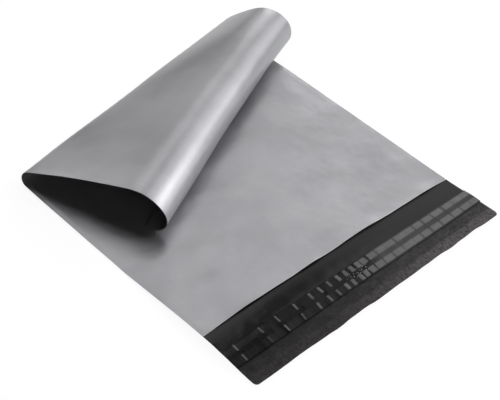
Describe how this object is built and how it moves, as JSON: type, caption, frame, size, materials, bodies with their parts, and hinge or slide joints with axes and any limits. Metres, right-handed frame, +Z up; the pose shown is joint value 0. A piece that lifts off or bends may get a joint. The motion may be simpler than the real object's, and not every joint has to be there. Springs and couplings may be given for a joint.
{
  "type": "poly mailer",
  "caption": "Grey plastic mailing pouch, empty, folded over once with its closed end curled under, showing its open mouth, black flap and peel-and-seal strip.",
  "frame": {"origin": "centre of the part's bounding box, on the surface that the mailer lies on", "axes": "+X across the mailer's width, +Y from the flap towards the fold, +Z up from the surface"},
  "size_m": [0.2732, 0.294, 0.0349],
  "materials": {
    "film": "satin grey outside, glossy black inside and on the flap",
    "adhesive": "glossy",
    "liner": "glossy, crinkled"
  },
  "bodies": {
    "root": {"film_pouch": "film", "adhesive_strip": "adhesive", "release_liner": "liner"}
  },
  "joints": []
}
